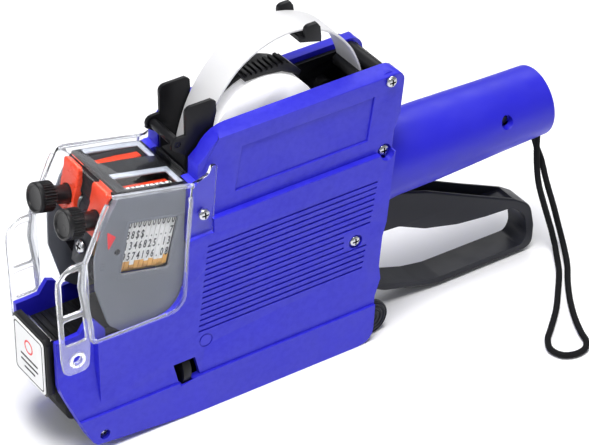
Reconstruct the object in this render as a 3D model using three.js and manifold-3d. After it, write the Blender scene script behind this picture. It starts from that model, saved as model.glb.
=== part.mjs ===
// Two-line price labelling gun: a roll compartment and label bed between two side covers, a print
// head that swings down inside a clear cover, a squeeze lever, a tubular handle and a wrist strap.
// Millimetres. Inside the functions x runs from the nose (0) to the handle, y = 0 is the mid plane
// (-y is the left side), z = 0 is the resting plane. The group is shifted so that x is centred.
import * as THREE from "three";
import { mergeVertices } from "three/addons/utils/BufferGeometryUtils.js";
import Module from "manifold-3d";

const wasm = await Module();
wasm.setup();

// ---- driving dimensions ----
const LABEL_FRONT = -3.6; // foremost face, the label on the nose door
const HANDLE_END = 230; // tip of the handle
const END_ROUND = 1.2; // rounding of the handle's flat end
const X_MID = (LABEL_FRONT + HANDLE_END) / 2;
const FIT = 0.3; // gap between touching pieces

const FACE = 20; // half width of the grooved side panel
const FACE_UP = 17.5; // half width of the upper box
const SKIRT = 21; // half width of the skirt along the bottom
const NOSE = 16; // half width of the nose
const INNER = 10.6; // where a side cover meets the chassis
const WALL_OUT = 10.3; // chassis walls
const WALL_IN = 8.6;
const POCKET = 17.8; // inner face of a side cover's lower panel
const TOP = 121.3;

const LEVER_PIVOT = [124, 40];
const HEAD_PIVOT = [114.8, 72];
const HEAD_REST = 13; // degrees the head stands above its printing position
const ROLL = { x: 97, z: 106, r: 24, half: 7.4 };
const GUIDE_HINGE = [139.8, 116.4];
const HOLDER_HINGE = [132, 108];
const LINE_Y = 10.2; // centre of each line's print wheels
const KNOB_Z = 76.4; // axis of the knobs, head down
const BAR_Y = [-9.4, 10.2]; // near side of each line's orange scale bar, 3.4 wide
const KNOB_R = 5.85;
const NECK_R = 3.6;
const TYPE_X = 28.4; // start of the ten print bands of a line
const PITCH = 2.08;
const INK_PIVOT = [25, 66]; // in the head, head down
const INK_AXIS = [30.93, 46.6];
const SPROCKET = [44, 37.4];
const COVER_PIN = [15.7, 7.7];
const LATCH = { x: 140, z: 8.1, r: 7.6 };
const THUMB = { x: 52.7, y: -12, z: 20.4, r: 8.8 };
const SCREWS = [[146.8, 117.2], [144.4, 86.6], [130, 51], [61.8, 90.6]];
const SCREW_FACE = [FACE_UP, FACE_UP, FACE, FACE_UP];
const SCREW_SUNK = [0, 1.4, 1.4, 0]; // depth of the recess round each screw
const SCREW_R = 2.3; // radius of a screw head
const FOOT_ROLLERS = [[5, 24.4], [9, 15.4]];

// ---- materials ----
const paint = (color, roughness, metalness = 0, extra = {}) => ({ color, roughness, metalness, ...extra });
const BLUE = paint(0x3f3be0, 0.38);
const BLACK = paint(0x17171a, 0.45);
const GREY_BLACK = paint(0x3b3d45, 0.42);
const PANEL_GREY = paint(0x868894, 0.5);
const ORANGE = paint(0xe0442a, 0.4);
const IVORY = paint(0xe9e6dc, 0.6);
const PAPER = paint(0xf2f2f4, 0.85);
const RUBBER = paint(0x1b1b1b, 0.8);
const STEEL = paint(0xb9bcc2, 0.28, 1);
const FOAM = paint(0x202024, 0.95);
const CLEAR = paint(0xe8eef4, 0.06, 0, { transparent: true, opacity: 0.28 });
const CORD = paint(0x111113, 0.85);

// ---- geometry helpers ----
const group = new THREE.Group();
group.name = "price_labelling_gun";
group.position.x = -X_MID;

function place(name, shape, finish) {
  const geometry = shape.isBufferGeometry ? shape : geometryOf(shape);
  const mesh = new THREE.Mesh(geometry, new THREE.MeshStandardMaterial(finish));
  mesh.name = name;
  group.add(mesh);
}
function solid(geometry) {
  const g = geometry.clone();
  g.deleteAttribute("normal");
  g.deleteAttribute("uv");
  const m = mergeVertices(g, 1e-4);
  return new wasm.Manifold(new wasm.Mesh({
    numProp: 3,
    vertProperties: new Float32Array(m.attributes.position.array),
    triVerts: new Uint32Array(m.index.array),
  }));
}
function geometryOf(body) {
  const m = body.getMesh();
  const g = new THREE.BufferGeometry();
  g.setAttribute("position", new THREE.BufferAttribute(new Float32Array(m.vertProperties), 3));
  g.setIndex(new THREE.BufferAttribute(new Uint32Array(m.triVerts), 1));
  const flat = g.toNonIndexed();
  flat.computeVertexNormals();
  return flat;
}
const add = (first, ...rest) => rest.reduce((a, b) => a.add(b), first);
const cut = (first, ...rest) => rest.reduce((a, b) => a.subtract(b), first);
const outline = (points) => new THREE.Shape(points.map((p) => new THREE.Vector2(p[0], p[1])));
function extruded(points, depth, columns) {
  const g = new THREE.ExtrudeGeometry(outline(points), { depth, bevelEnabled: false });
  g.applyMatrix4(new THREE.Matrix4().makeBasis(...columns));
  return g;
}
const X = new THREE.Vector3(1, 0, 0);
const Y = new THREE.Vector3(0, 1, 0);
const Z = new THREE.Vector3(0, 0, 1);
// Outline in (x, z), between two y planes.
function slab(points, y0, y1) {
  const low = Math.min(y0, y1), high = Math.max(y0, y1);
  return solid(extruded(points, high - low, [X, Z, Y.clone().negate()]).translate(0, high, 0));
}
// Outline in (y, z), between two x planes.
const bar = (points, x0, x1) => solid(extruded(points, x1 - x0, [Y, Z, X]).translate(x0, 0, 0));
function box(x0, x1, y0, y1, z0, z1) {
  const g = new THREE.BoxGeometry(x1 - x0, Math.abs(y1 - y0), z1 - z0);
  return solid(g.translate((x0 + x1) / 2, (y0 + y1) / 2, (z0 + z1) / 2));
}
// Points of an arc about (a, b), angles in degrees, end points included.
function arc(a, b, r, from, to, steps = 6) {
  return Array.from({ length: steps + 1 }, (_, i) => {
    const t = THREE.MathUtils.degToRad(from + ((to - from) * i) / steps);
    return [a + r * Math.cos(t), b + r * Math.sin(t)];
  });
}
const circle = (a, b, r, steps = 20) => arc(a, b, r, 0, 360 - 360 / steps, steps - 1);
const rod = (x, z, r, y0, y1, steps) => slab(circle(x, z, r, steps), y0, y1); // along y
const shaft = (y, z, r, x0, x1, steps) => bar(circle(y, z, r, steps), x0, x1); // along x
const both = (y0, y1, make) => add(make(y0, y1), make(-y0, -y1));
// Puts a piece of the head, drawn in its printing position, where it rests.
function raised(body) {
  const [px, pz] = HEAD_PIVOT;
  const g = geometryOf(body).translate(-px, 0, -pz);
  return g.rotateY(THREE.MathUtils.degToRad(HEAD_REST)).translate(px, 0, pz);
}
// Convex outline round a set of points.
function hull(points) {
  const turn = (o, a, b) => (a[0] - o[0]) * (b[1] - o[1]) - (a[1] - o[1]) * (b[0] - o[0]);
  const half = (list) => {
    const chain = [];
    for (const p of list) {
      while (chain.length > 1 && turn(chain.at(-2), chain.at(-1), p) < 1e-6) chain.pop();
      chain.push(p);
    }
    return chain.slice(0, -1);
  };
  const sorted = [...points].sort((a, b) => a[0] - b[0] || a[1] - b[1]);
  return [...half(sorted), ...half([...sorted].reverse())];
}

// ---- side covers ----
const REAR_EDGE = [
  [138.4, 7], [139.4, 21], [142, 28.6], [141.2, 35], [142.6, 48.8], [144.4, 54.8], [149, 94.5], [151.6, 101],
];
const CLEAR_EDGE = [ // where a side cover ends under the clear cover
  [61, 105], [60.5, 103.4], [57.4, 103.2], [54.8, 77.7], [52.7, 60.4],
  ...arc(41, 62.4, 11.4, -10, -90, 5), [33, 51], [12, 51],
];
function sideCover(s) {
  const y = (v) => s * v;
  const full = [
    [-0.5, 54], [-0.5, 34], [0.4, 30], [5.2, 18.2], [10.4, 6], [12.6, 4], [58, 0], [131, 0],
    ...arc(131.4, 7, 7, -60, -10, 3), ...REAR_EDGE, ...arc(147.3, 115.3, 6, 0, 90, 5),
    ...arc(77, TOP - 14, 14, 90, 150, 5), [61.2, 111.2], ...CLEAR_EDGE, [12, 54],
  ];
  let body = slab(full, y(INNER), y(FACE));
  // upper box, its sloping shoulder and the strip the clear cover is screwed to
  body = cut(body, box(66, 156, y(FACE_UP), y(FACE + 1), 86.6, 130));
  body = cut(body, box(50, 66.2, y(FACE_UP), y(FACE + 1), 80.6, 130));
  const slope = [[y(FACE_UP + 1), TOP - 2], [y(INNER), TOP], [y(INNER), TOP + 9], [y(FACE_UP + 1), TOP + 9]];
  body = cut(body, bar(slope, 50, 156));
  // skirt along the bottom
  const skirt = [
    [5.6, 17.4], [10.4, 6], [12.6, 4], [58, 0], [131, 0], ...arc(131.4, 7, 7, -60, -10, 3), [139.1, 17.4],
  ];
  body = body.add(slab(skirt, y(FACE - 1), y(SKIRT)));
  // nose recess that holds the ear of the clear cover, running out downwards
  const ramp = [[y(NOSE), 60], [y(NOSE), 38], [y(FACE + 0.1), 22], [y(FACE + 2), 22], [y(FACE + 2), 60]];
  body = cut(body, bar(ramp, -2, 15));
  // hollow inside
  const low = [
    [15.8, -2], [15.8, 60], [50, 60], [50.3, 66], [52.2, 80], [67, 80], [67, 83.6], [145.2, 83.6],
    [139.8, 48], [138.2, 35], [139, 28.6], [136.6, 21], [136.4, 17.4], [146, 17.4], [146, -2],
  ];
  const up = [
    [62, 88.4], [146, 88.4], [148.6, 101], [151, 102.5], [151, 114], [147.2, TOP - 3], [78, TOP - 3],
    [68, 115], [62, 108],
  ];
  body = cut(body, slab(low, y(INNER - 1), y(POCKET)), slab(up, y(INNER - 1), y(FACE_UP - 2.2)));
  body = cut(body, box(-2, 16, y(INNER - 1), y(13.9), -2, 60));
  const cheek = [
    [-0.5, 53.6], [9.5, 54.4], [13.2, 59.4], [16.5, 58], [20, 53], [20, 30], [0.4, 30], [-0.5, 34],
  ];
  body = body.add(slab(cheek, y(13.9), y(NOSE)));
  // hinge pin boss and screw bosses
  body = body.add(rod(...COVER_PIN, 3.6, y(13.9), y(POCKET + 1)));
  body = cut(body, rod(...COVER_PIN, 2.2, y(INNER), y(SKIRT + 1)));
  SCREWS.forEach(([sx, sz], i) => {
    const face = SCREW_FACE[i];
    body = body.add(rod(sx, sz, 3.4, y(INNER), y(face - 1.6)));
    body = cut(body, rod(sx, sz, 1.6, y(INNER - 1), y(face + 3), 16));
    if (SCREW_SUNK[i]) body = cut(body, rod(sx, sz, SCREW_R + 0.8, y(face - SCREW_SUNK[i]), y(face + 3)));
  });
  // grooved panel
  for (let i = 0; i < 16; i++) {
    const z = 75.3 - 2.52 * i;
    const front = 63.6 - (78.4 - z) * 0.127;
    const rear = i > 7 && i < 11 ? 124.4 : 140 - (75.6 - z) * 0.179; // three stop short of the screw
    body = cut(body, box(front, rear, y(FACE - 0.6), y(FACE + 1), z - 0.42, z + 0.42));
  }
  // nameplate recess, blank, and the blind boss ring
  const plate = [[80.3, 112.6], [139.7, 112.6], [136.6, 93.8], [77.3, 93.8]];
  const ring = cut(
    rod(61.5, 32.4, 3, y(FACE - 0.4), y(FACE + 1)), rod(61.5, 32.4, 2.5, y(FACE - 1), y(FACE + 2)),
  );
  body = cut(body, slab(plate, y(FACE_UP - 0.8), y(FACE_UP + 1)), ring);
  if (s < 0) { // opening for the label position wheel
    body = cut(
      body, slab([[46.9, 26.4], [56.5, 26.4], [58.6, 17.6], [49.4, 15.8]], y(POCKET - 1), y(SKIRT + 1)),
    );
    body = cut(body, shaft(THUMB.y, THUMB.z, THUMB.r + 0.5, THUMB.x - 2.3, THUMB.x + 2.3, 32));
  }
  place(s < 0 ? "side_cover_left" : "side_cover_right", body, BLUE);
}

// ---- chassis between the covers ----
function chassis() {
  const wall = [
    [2, 34], [17, 31], [19.6, 14], [21.6, 6.4], [131, 5], [136.4, 9], [137, 20], [138.6, 34], [140, 49],
    [146.6, 84], [149.8, 101], [149.8, 119.2], [76, 119.2], [76, 103], [58.8, 103], [58, 62], [57.6, 46.8],
    [2, 46.8],
  ];
  const rearWall = [
    [145.6, 78], [146.6, 101], [146.6, 119.2], [149.6, 119.2], [150.4, 117.4], [150.4, 103], [147.6, 99],
    [146.8, 84], [146.4, 78],
  ];
  let body = both(WALL_IN, WALL_OUT, (a, b) => slab(wall, a, b));
  body = add(
    body,
    box(0.2, 57.6, -10.8, 10.8, 46.6, 48.8), // label bed
    box(0.2, 2.2, -13.6, 13.6, 30.5, 48.8), // nose front
    box(60, 146.2, -9, 9, 77.6, 79.4), // compartment floor
    box(59, 61, -9, 9, 77.6, 103), // compartment front
    slab(rearWall, -WALL_OUT, WALL_OUT),
    rod(...SCREWS[0], 3.2, -WALL_OUT, WALL_OUT),
    box(126, 130, -9, 9, 5.4, 8), // ties across the bottom
    box(62, 66, -9, 9, 6.4, 9),
    box(44.6, 47.2, -15, -9.5, 14, 27), // bearing of the label position wheel
  );
  for (let i = 0; i < 7; i++) { // ribs on the bed
    body = body.add(box(4.6 + 2.9 * i, 5.8 + 2.9 * i, -10, 10, 48.6, 49.4));
  }
  body = cut(
    body,
    box(30.6, 57.4, -3.2, 3.2, 46, 50), // slot for the feed wheel
    rod(...LEVER_PIVOT, 3.06, -12, 12), rod(...HEAD_PIVOT, 2.56, -12, 12),
    rod(...SPROCKET, 2.06, -12, 12),
    rod(...COVER_PIN, 5.4, -12, 12), rod(...GUIDE_HINGE, 1.56, -12, 12), rod(...HOLDER_HINGE, 1.56, 8, 12),
    shaft(THUMB.y, THUMB.z, 1.56, 40, 50, 20),
    box(THUMB.x - 2.3, THUMB.x + 2.3, -12, -4, 10.8, 30),
  );
  for (const [sx, sz] of SCREWS) body = cut(body, rod(sx, sz, 1.6, -12, 12, 20));
  place("chassis", body, BLACK);
}

function paperGuide() {
  const ear = [
    [61, 104], [61, 128.6], ...arc(63.4, 129.2, 2.4, 170, 90, 3), [72.4, 131.6], [74.2, 130.2], [74.4, 126],
    [71, 112], [70.4, 104],
  ];
  const lug = [
    [54.9, 115.4], ...arc(57.8, 117, 2.9, 200, 90, 4), [62, 119.9], [62, 104], [61.3, 104], [61.3, 111],
  ];
  let body = both(8.3, 9.7, (a, b) => slab(ear, a, b));
  body = add(body, both(8.3, 9.7, (a, b) => slab(lug, a, b)), box(61.3, 70.4, -9.7, 9.7, 103.4, 105));
  place("paper_guide", cut(body, rod(57.8, 117, 1.06, -12, 12, 16)), BLACK);
  place("guide_roller", add(rod(57.8, 117, 1.9, -8, 8, 20), rod(57.8, 117, 1, -9.6, 9.6, 16)), BLACK);
}

// ---- handle and strap ----
function handle() {
  const axis = 69.6;
  const profile = (shrink, start, end) => {
    const tip = 14.6 - shrink;
    return [
      [0, start], [16.2 - shrink, start], [16.2 - shrink, 176], [15.2 - shrink, 205],
      ...arc(tip - END_ROUND, end - END_ROUND, END_ROUND, 0, 90, 3), [0, end],
    ];
  };
  const turned = (shrink, start, end) => {
    const line = profile(shrink, start, end).map(([r, h]) => new THREE.Vector2(r, h));
    const g = new THREE.LatheGeometry(line, 28);
    return solid(g.rotateZ(-Math.PI / 2).translate(0, 0, axis));
  };
  let tube = cut(turned(0, 140, HANDLE_END), turned(2.6, 156, HANDLE_END - 2.6));
  // slanted front face against the rear edge of the side covers
  tube = cut(
    tube,
    slab([[130, 40], [143.6, 40], [145.1, 54.8], [149.7, 94.5], [149.7, 100], [130, 100]], -22, 22),
  );
  const tongue = slab([[138.8, 66], [141, 77.2], [154, 77.2], [154, 66]], -8.2, 8.2);
  let body = tube.add(tongue);
  body = cut(
    body,
    slab([[140, 40], [140, 65.4], [186, 60], [196, 50]], -6.8, 6.8), // channel the lever rises into
    rod(206, 75, 1.56, -20, 20, 20), rod(206, 75, 3, -20, -12.2), rod(206, 75, 3, 12.2, 20),
    rodDown(226.1, -8.3, 1.9, 50, 64), rodDown(227.7, -3.6, 1.9, 50, 64),
  );
  place("handle", body, BLUE);
  place("strap_pin", rod(206, 75, 1.5, -12, 12, 20), STEEL);
}
function rodDown(x, y, r, z0, z1) {
  const g = new THREE.CylinderGeometry(r, r, z1 - z0, 16).rotateX(Math.PI / 2);
  return solid(g.translate(x, y, (z0 + z1) / 2));
}
function strap() {
  const route = [
    [226.1, -8.3, 60.4], [225.7, -8.8, 52], [226.2, -9, 43], [227.5, -9.1, 34.5], [229.8, -9.3, 26],
    [232.2, -9.8, 17.6], [233.9, -11.2, 9.8], [233.8, -14, 4.4], [231.6, -18.4, 2.1], [226.6, -26.4, 1.6],
    [218.6, -36.3, 1.6], [209.7, -46.5, 1.6], [200.9, -54.8, 1.6], [194.8, -60.6, 1.6], [192.2, -66.4, 1.6],
    [194, -71.4, 1.6], [198.6, -73.6, 1.6], [203.6, -73, 1.6], [207, -69.8, 1.6], [209.1, -63.6, 1.6],
    [212.8, -54.8, 1.6], [218.5, -44.3, 1.6], [225.4, -33.8, 1.6], [232.2, -24.6, 1.7], [236.6, -17, 2.8],
    [238.4, -11.8, 6.6], [237.8, -9.5, 13], [235.6, -9, 21.4], [232.8, -9, 30], [230.6, -8.9, 37.6],
    [229.2, -7.8, 45], [228.2, -5.2, 51], [227.7, -3.7, 56], [227.7, -3.6, 60.4],
  ].map((p) => new THREE.Vector3(...p));
  const path = new THREE.CatmullRomCurve3(route, false, "centripetal");
  const tube = { steps: 76, extrudePath: path, bevelEnabled: false };
  place("wrist_strap", new THREE.ExtrudeGeometry(outline(circle(0, 0, 1.3, 8)), tube), CORD);
}

// ---- squeeze lever ----
function lever() {
  const outer = [
    [152, 38], [152, 57.2], [159.2, 54.5], [174.2, 49.2], [199.2, 37.2], [218.8, 28.1], [225, 22.8],
    [227.6, 17.6], [228.5, 14], [228.3, 5.2], [226.2, 2.3], [220.2, 1], [180.8, 1.4], [171.3, 3.8],
    [153.8, 8.8], [148, 12.3], [148, 38],
  ];
  const opening = [
    [151, 38.6], [160.3, 38], [173.3, 31.9], [189.4, 27.7], [201.1, 26.3], [213, 25.3], [219.1, 22.5],
    [223.6, 16.7], [224.5, 9.7], [220, 4.6], [181, 5], [170.5, 6.8], [151.6, 13.2], [140, 20], [140, 38.6],
  ];
  const channel = [
    [154.6, 62], [154.6, 41.2], [160.8, 40.4], [173.9, 34.3], [189.7, 30.1], [201.3, 28.7], [213.4, 27.7],
    [217.4, 27.2], [219.2, 29.6], [219.2, 62],
  ];
  // the upper arm is a channel open upwards, the lower one a flat strip
  const arms = cut(slab(outer, -6.2, 6.2), slab(opening, -7, 7), slab(channel, -4.6, 4.6));
  const [px, pz] = LEVER_PIVOT;
  const root = [
    [px - 2, pz - 8], [132, 26], [136, 17], [147, 12], [153, 9.6], [153, 12.7], [146, 23], [145.4, 36],
    [153, 38.6], [153, 56.6], [150, 57.6], [138, 52], [px + 4, pz + 8], [104, 57], [84, 64], [80.4, 61.6],
    [81, 57.4], [100, 48], [px - 8, pz + 1],
  ];
  const body = add(
    arms, slab(root, -3.8, 3.8), rod(px, pz, 8, -3.8, 3.8),
    rod(83, 60, 2, -7.4, 7.4, 20), // cross pin that drives the head
  );
  place("lever", cut(body, rod(px, pz, 3.08, -8, 8)), GREY_BLACK);
  place("lever_pivot_pin", rod(px, pz, 3, -10.2, 10.2), STEEL);
  const coil = Array.from({ length: 33 }, (_, i) => {
    const t = (i / 32) * 2 * Math.PI * 2.25;
    return new THREE.Vector3(px + 4.6 * Math.cos(t), 4.9 + (2.5 * i) / 32, pz + 4.6 * Math.sin(t));
  });
  const wire = { steps: 48, extrudePath: new THREE.CatmullRomCurve3(coil), bevelEnabled: false };
  place("return_spring", new THREE.ExtrudeGeometry(outline(circle(0, 0, 0.45, 6)), wire), STEEL);
}

// ---- print head, drawn in its printing position ----
function headFrame() {
  const [px, pz] = HEAD_PIVOT;
  let plate = box(21, 51.2, -16, 16, 87.6, 90.2);
  for (const s of [-1, 1]) {
    plate = cut(plate, box(25.3, 49.2, s * 4.6, s * 15, 86, 92));
  }
  const arm = [
    [49.9, 52], [66, 50.5], [74, 47.2], [90, 47.2], [95, 56], [108, 63], ...arc(px, pz, 5, -110, 100, 8),
    [100, 72.4], [75, 67.4], [49.9, 61.6],
  ];
  const slot = [[77.8, 50], [88.8, 50], [88.8, 55.8], [77.8, 55.8]];
  let body = add(
    plate,
    box(21, 23, -16, 16, 80, 88), box(23, 50.4, -1.2, 1.2, 66, 88),
    box(49.8, 51.2, -16, 16, 52, 88),
    both(4.3, 7.7, (a, b) => slab(arm, a, b)),
    rod(px, pz, 5, -7.7, 7.7),
  );
  body = cut(body, both(3, 9, (a, b) => slab(slot, a, b)), rod(px, pz, 2.56, -9, 9));
  for (const y of BAR_Y) body = cut(body, box(20, 24, y - 0.4, y + 3.8, 84.8, 87.7));
  for (const s of [-1, 1]) body = cut(body, shaft(s * LINE_Y, KNOB_Z, 1.9, 49, 54, 16));
  place("head_frame", raised(body), BLACK);
  place("head_pivot_pin", rod(px, pz, 2.5, -10.2, 10.2), STEEL);
}
function headSide(s) {
  const plate = [
    [20.9, 88.9], [18.2, 80.4], [16, 72.4], [15.4, 64.1], [18.2, 50.9], [27.1, 34.3], [33, 31], [39, 30],
    [50.9, 31.2], [57, 40], [57.4, 56], [53.2, 70.2], [50.2, 89.4],
  ];
  const window = [[28, 54.4], [49.7, 54.4], [49.7, 77.8], [28, 77.8]];
  const opening = slab(window, s * 16, s * 18);
  const body = cut(slab(plate, s * 16.3, s * 17.4), opening, rod(...INK_PIVOT, 1.26, s * 16, s * 18, 16));
  place(s < 0 ? "head_side_left" : "head_side_right", raised(body), PANEL_GREY);
}
function headFront() {
  const body = box(21.6, 23.4, -5.2, 5.2, 50.6, 79.6).add(box(23, 27, -2, 2, 64, 79.6));
  const merged = cut(body, box(22.7, 28, -1.5, 1.5, 60, 90), shaft(0, 59, 1.4, 20, 25, 16));
  place("head_front_plate", raised(merged), GREY_BLACK);
  place("head_screw", raised(add(shaft(0, 59, 2.7, 19.8, 21.3), shaft(0, 59, 1.1, 21, 26, 16))), STEEL);
}
function printLine(s) {
  const side = s < 0 ? "left" : "right";
  const y = s * LINE_Y;
  const x0 = TYPE_X, x1 = TYPE_X + 10 * PITCH;
  // orange carrier: block round the knob's neck, with a scale bar into the window
  const block = slab([[17.8, 69], [17.8, 88.2], [18.6, 90], [20.6, 90.2], [20.6, 69]], s * 4.8, s * 15.4);
  const rail = BAR_Y[s < 0 ? 0 : 1];
  let carrier = add(block, box(20, 48.8, rail, rail + 3.4, 85.2, 86.8));
  carrier = cut(carrier, shaft(y, KNOB_Z, NECK_R + 0.3, 15, 21));
  place(`carrier_${side}`, raised(carrier), ORANGE);
  // knob with a knurled barrel and a dished face
  const teeth = Array.from({ length: 40 }, (_, i) => {
    const t = (i / 40) * 2 * Math.PI, r = i % 2 ? KNOB_R - 0.5 : KNOB_R;
    return [y + r * Math.cos(t), KNOB_Z + r * Math.sin(t)];
  });
  let knob = add(
    shaft(y, KNOB_Z, KNOB_R, 3.8, 5.8, 32), bar(teeth, 5.6, 10.9), shaft(y, KNOB_Z, NECK_R, 10.7, 20.4),
  );
  knob = cut(knob, shaft(y, KNOB_Z, KNOB_R - 1.4, 3, 4.6), shaft(y, KNOB_Z, 1.9, 5.6, 22, 16));
  place(`knob_${side}`, raised(knob), BLACK);
  place(`selector_shaft_${side}`, raised(shaft(y, KNOB_Z, 1.6, 5.9, 50.8, 16)), STEEL);
  place(`pointer_${side}`, raised(slab([[45.4, 83], [47.2, 85.6], [49, 83]], rail - 3.2, rail - 0.8)), ORANGE);
  // ten print wheels on the shaft, as one piece
  const wheels = shaft(y, KNOB_Z, 4.5, x0 + 0.2, x1 - 0.2);
  place(`print_wheels_${side}`, raised(cut(wheels, shaft(y, KNOB_Z, 1.7, x0 - 1, x1 + 1, 16))), IVORY);
  // ten rubber bands round the wheels and down to the print edge
  const loop = (grow, a, b) => bar(hull([
    ...circle(y, KNOB_Z, 4.8 + grow, 16), ...circle(s * 12.2, 57.6, 2 + grow, 12),
    ...circle(s * 6.4, 53.4, 2 + grow, 12),
  ]), a, b);
  let bands = loop(0.7, x0, x1);
  for (let i = 0; i < 10; i++) bands = bands.add(loop(1.1, x0 + 0.1 + PITCH * i, x0 + 1.88 + PITCH * i));
  place(`print_bands_${side}`, raised(cut(bands, loop(0, x0 - 1, x1 + 1))), IVORY);
  const anvil = [
    [5, 60], [5, 52.6], [6.4, 51.8], [7.6, 52.2], [13.2, 56.4], [13.4, 58.4], [12, 59.2], [9, 60],
  ].map(([across, up]) => [s * across, up]);
  place(`print_anvil_${side}`, raised(bar(anvil, x0 - 1, x1 + 0.2)), STEEL);
}
// The ink arm hangs in the head's side plates and swings forward under the front plate.
function inkRoller() {
  const [px, pz] = INK_PIVOT, [ax, az] = INK_AXIS;
  const arm = [
    ...arc(px, pz, 2.4, 0, 180, 6), [23.2, 62], [23.2, 53.4], ...arc(ax, az, 2.2, 205, 385, 6),
    [26.8, 53.4], [26.8, 62],
  ];
  const body = add(
    both(12.4, 13.5, (a, b) => slab(arm, a, b)), both(13.4, 17.2, (a, b) => rod(px, pz, 1.2, a, b, 16)),
    rod(ax, az, 1.2, -13.5, 13.5, 16),
  );
  place("ink_arm", raised(body), BLACK);
  place("ink_roller", raised(cut(rod(ax, az, 3.4, -10.8, 10.8), rod(ax, az, 1.26, -12, 12, 16))), FOAM);
}

// ---- nose, feed and bottom ----
function nose() {
  const door = [
    [-12.6, 28.6], [-10.6, 26.6], [10.6, 26.6], [12.6, 28.6], [12.6, 51.6], [10.6, 53.6], [-10.6, 53.6],
    [-12.6, 51.6],
  ];
  place("nose_door", cut(bar(door, -2.9, -0.1), box(-1.4, 1, -11, 11, 29, 46)), BLACK);
  const label = [
    [-11.4, 29.4], [-9.4, 27.8], [9.4, 27.8], [11.4, 29.4], [11.4, 50.4], [9.4, 52.2], [-9.4, 52.2],
    [-11.4, 50.4],
  ];
  place("nose_label", bar(label, LABEL_FRONT, -3.2), PAPER);
  place("peel_bar", rod(1.3, 50.2, 1, -9.5, 9.5, 20), STEEL);
  const cheek = [[3, 29.6], [14, 30], [17.4, 20], [16.6, 13.4], [11.6, 12.8], [7.4, 14.2], [3.4, 23.6]];
  const tie = slab([[10.6, 29.6], [13.6, 29.6], [15.8, 25], [14, 24.2]], -12, 12);
  let frame = both(11, 12.8, (a, b) => slab(cheek, a, b)).add(tie);
  for (const [fx, fz] of FOOT_ROLLERS) frame = cut(frame, rod(fx, fz, 1.26, -14, 14, 16));
  place("roller_cradle", frame, BLACK);
  FOOT_ROLLERS.forEach(([fx, fz], i) => {
    const roller = add(rod(fx, fz, 4, -10.6, 10.6), rod(fx, fz, 1.2, -12.7, 12.7, 16));
    place(`foot_roller_${i + 1}`, roller, RUBBER);
  });
}
function feedWheel() {
  const [sx, sz] = SPROCKET;
  const teeth = Array.from({ length: 40 }, (_, i) => {
    const t = (i / 40) * 2 * Math.PI, r = i % 4 < 2 ? 11.4 : 9.6;
    return [sx + r * Math.cos(t), sz + r * Math.sin(t)];
  });
  place("feed_wheel", add(slab(teeth, -2.6, 2.6), rod(sx, sz, 2, -10.2, 10.2)), BLACK);
  const disc = shaft(THUMB.y, THUMB.z, THUMB.r, THUMB.x - 1.7, THUMB.x + 1.7, 36);
  place("position_wheel", add(disc, shaft(THUMB.y, THUMB.z, 1.5, 44, 58, 20)), BLACK);
}
function bottomCover() {
  const [hx, hz] = COVER_PIN;
  const sole = [
    [18.4, 5], [22, 4.4], [60, 2.2], [133.4, 2.2], [133.4, 0.6], [58, 0.6], [21, 3.2], [15.7, 4.2],
  ];
  let body = slab(sole, -13.4, 13.4).add(box(60, 133.4, -17.4, 17.4, 0.6, 2.2));
  body = body.add(rod(hx, hz, 4.6, -13.2, 13.2));
  place("bottom_cover", cut(body, rod(hx, hz, 2.06, -15, 15)), BLACK);
  place("bottom_hinge_pin", rod(hx, hz, 2, -19.4, 19.4), STEEL);
  const disc = rod(LATCH.x, LATCH.z, LATCH.r, -17.4, 17.4, 32);
  const groove = (r) => (a, b) => {
    return cut(rod(LATCH.x, LATCH.z, r + 0.5, a, b), rod(LATCH.x, LATCH.z, r - 0.4, a * 0.9, b * 1.1));
  };
  const rings = [5.8, 3.6].map((r) => both(16.8, 18, groove(r)));
  place("bottom_latch", cut(disc, ...rings, box(120, 150, -15, 15, 2.2, 20)), GREY_BLACK);
}

// ---- label roll and its keepers ----
function labelRoll() {
  const { x, z, r, half } = ROLL;
  place("label_roll", cut(rod(x, z, r, -half, half, 48), rod(x, z, 12.4, -9, 9, 32)), PAPER);
  const rim = [...arc(x, z, 26, 40, 155, 14), ...arc(x, z, 24.5, 155, 40, 14)];
  const [hx, hz] = HOLDER_HINGE;
  const arm = [[x - 6, z - 8], [x + 6, z - 8], [hx, hz - 2.8], [hx, hz + 2.8], [x - 4, z + 8]];
  const tab = [
    [89, 132.2], [89.8, 130.5], [98, 130.5], [106, 129.4], [113.4, 125.4], [114.8, 126.6], [109.4, 132.2],
  ];
  let holder = add(
    rod(x, z, 12, -half, 8.3, 32), rod(x, z, 25, 7.7, 8.3, 40), slab(arm, 7.7, 8.3),
    slab(rim, -1, 8.3),
    slab(tab, -5, 2.4),
    rod(hx, hz, 3.4, 4, 8.3),
  );
  for (let i = 0; i < 8; i++) { // ribs for the thumb
    holder = holder.add(box(90.6 + 2.3 * i, 91.8 + 2.3 * i, -5, 2.4, 132, 133.2));
  }
  place("roll_holder", cut(holder, rod(hx, hz, 1.56, 0, 9), rod(x, z, 10, -9, 7, 24)), BLACK);
  place("holder_pin", rod(hx, hz, 1.5, 3.6, 9.9), STEEL);
}
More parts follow.
